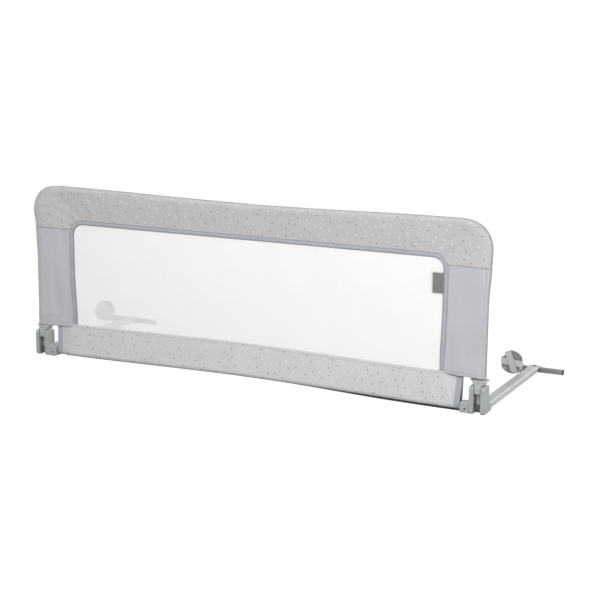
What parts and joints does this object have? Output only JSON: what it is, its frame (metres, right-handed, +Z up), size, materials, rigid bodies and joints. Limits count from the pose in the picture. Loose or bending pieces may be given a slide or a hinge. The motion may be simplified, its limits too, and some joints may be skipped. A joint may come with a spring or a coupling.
{
  "type": "folding bed guard rail",
  "caption": "Tube frame in a fabric cover with a mesh window, hinged on latched brackets whose flat arms slide under a mattress.",
  "frame": {"origin": "on the bed base, at the centre of the rail's whole footprint, cover to crossbars", "axes": "+X along the rail, to the right as seen from the room; +Y from the cover to the crossbars, under the mattress; +Z up"},
  "size_m": [1.3295, 0.4423, 0.4359],
  "materials": {
    "bracket": "moulded grey plastic, satin",
    "collar": "moulded grey plastic, satin",
    "foot": "moulded dark grey plastic",
    "paint": "light grey powder coat on steel tube",
    "bar": "mid grey powder coat on square steel tube",
    "cap": "moulded dark grey plastic",
    "steel": "zinc-plated steel",
    "disc": "moulded grey plastic, satin",
    "webbing": "woven grey webbing",
    "dotted": "light grey cotton weave with scattered small dots",
    "plain": "plain light blue-grey weave",
    "binding": "grey binding tape",
    "net": "fine white polyester mesh",
    "label": "bare woven grey tab"
  },
  "bodies": {
    "base": {"bottom_ferrule": "steel", "lower_sleeve": "dotted", "bottom_tube_right": "paint", "bottom_tube_left": "paint", "bracket_outer_right": "bracket", "bracket_outer_left": "bracket", "bracket_inner_right": "bracket", "bracket_inner_left": "bracket", "hinge_pin_right": "steel", "hinge_pin_left": "steel", "lug_screw_right": "steel", "lug_screw_left": "steel", "bracket_screw_lower_right": "steel", "bracket_screw_lower_left": "steel", "bracket_screw_upper_right": "steel", "bracket_screw_upper_left": "steel", "arm_right": "paint", "arm_left": "paint", "button_spring_right": "steel", "button_spring_left": "steel", "crossbar_rivet_right": "steel", "crossbar_rivet_left": "steel", "crossbar_right": "bar", "crossbar_left": "bar", "bar_cap_right_right": "cap", "bar_cap_left_right": "cap", "bar_cap_right_left": "cap", "bar_cap_left_left": "cap", "strap_disc_right": "disc", "strap_disc_left": "disc", "strap_right": "webbing", "strap_left": "webbing"},
    "guard": {"frame_right": "paint", "frame_left": "paint", "frame_ferrule": "steel", "top_sleeve": "dotted", "side_panel_right": "plain", "side_panel_left": "plain", "panel_hem_right": "plain", "panel_hem_left": "plain", "window_binding": "binding", "window_net": "net", "lower_band": "dotted", "band_end_binding_right": "binding", "band_end_binding_left": "binding", "label_tab": "label", "leg_foot_right": "foot", "leg_foot_left": "foot", "latch_spring_right": "steel", "latch_spring_left": "steel", "spring_stop_right": "foot", "spring_stop_left": "foot"},
    "collar_right": {"latch_collar_right": "collar"},
    "collar_left": {"latch_collar_left": "collar"},
    "button_right": {"arm_button_right": "steel"},
    "button_left": {"arm_button_left": "steel"}
  },
  "joints": [
    {"name": "guard_fold", "type": "hinge", "parent": "base", "child": "guard", "pos_m": [0, -0.2007, 0.014], "axis": [1, 0, 0], "range_deg": [0, 180]},
    {"name": "collar_right_slide", "type": "slide", "parent": "guard", "child": "collar_right", "axis": [0, 0, 1], "range_m": [0, 0.008], "stiffness_N_per_m": 250, "springref_m": -0.012, "deforming": ["latch_spring_right", "panel_hem_right"]},
    {"name": "collar_left_slide", "type": "slide", "parent": "guard", "child": "collar_left", "axis": [0, 0, 1], "range_m": [0, 0.008], "stiffness_N_per_m": 250, "springref_m": -0.012, "deforming": ["latch_spring_left", "panel_hem_left"]},
    {"name": "button_right_press", "type": "slide", "parent": "base", "child": "button_right", "axis": [1, 0, 0], "range_m": [0, 0.004], "stiffness_N_per_m": 800, "springref_m": -0.003, "deforming": ["button_spring_right"]},
    {"name": "button_left_press", "type": "slide", "parent": "base", "child": "button_left", "axis": [-1, 0, 0], "range_m": [0, 0.004], "stiffness_N_per_m": 800, "springref_m": -0.003, "deforming": ["button_spring_left"]}
  ]
}
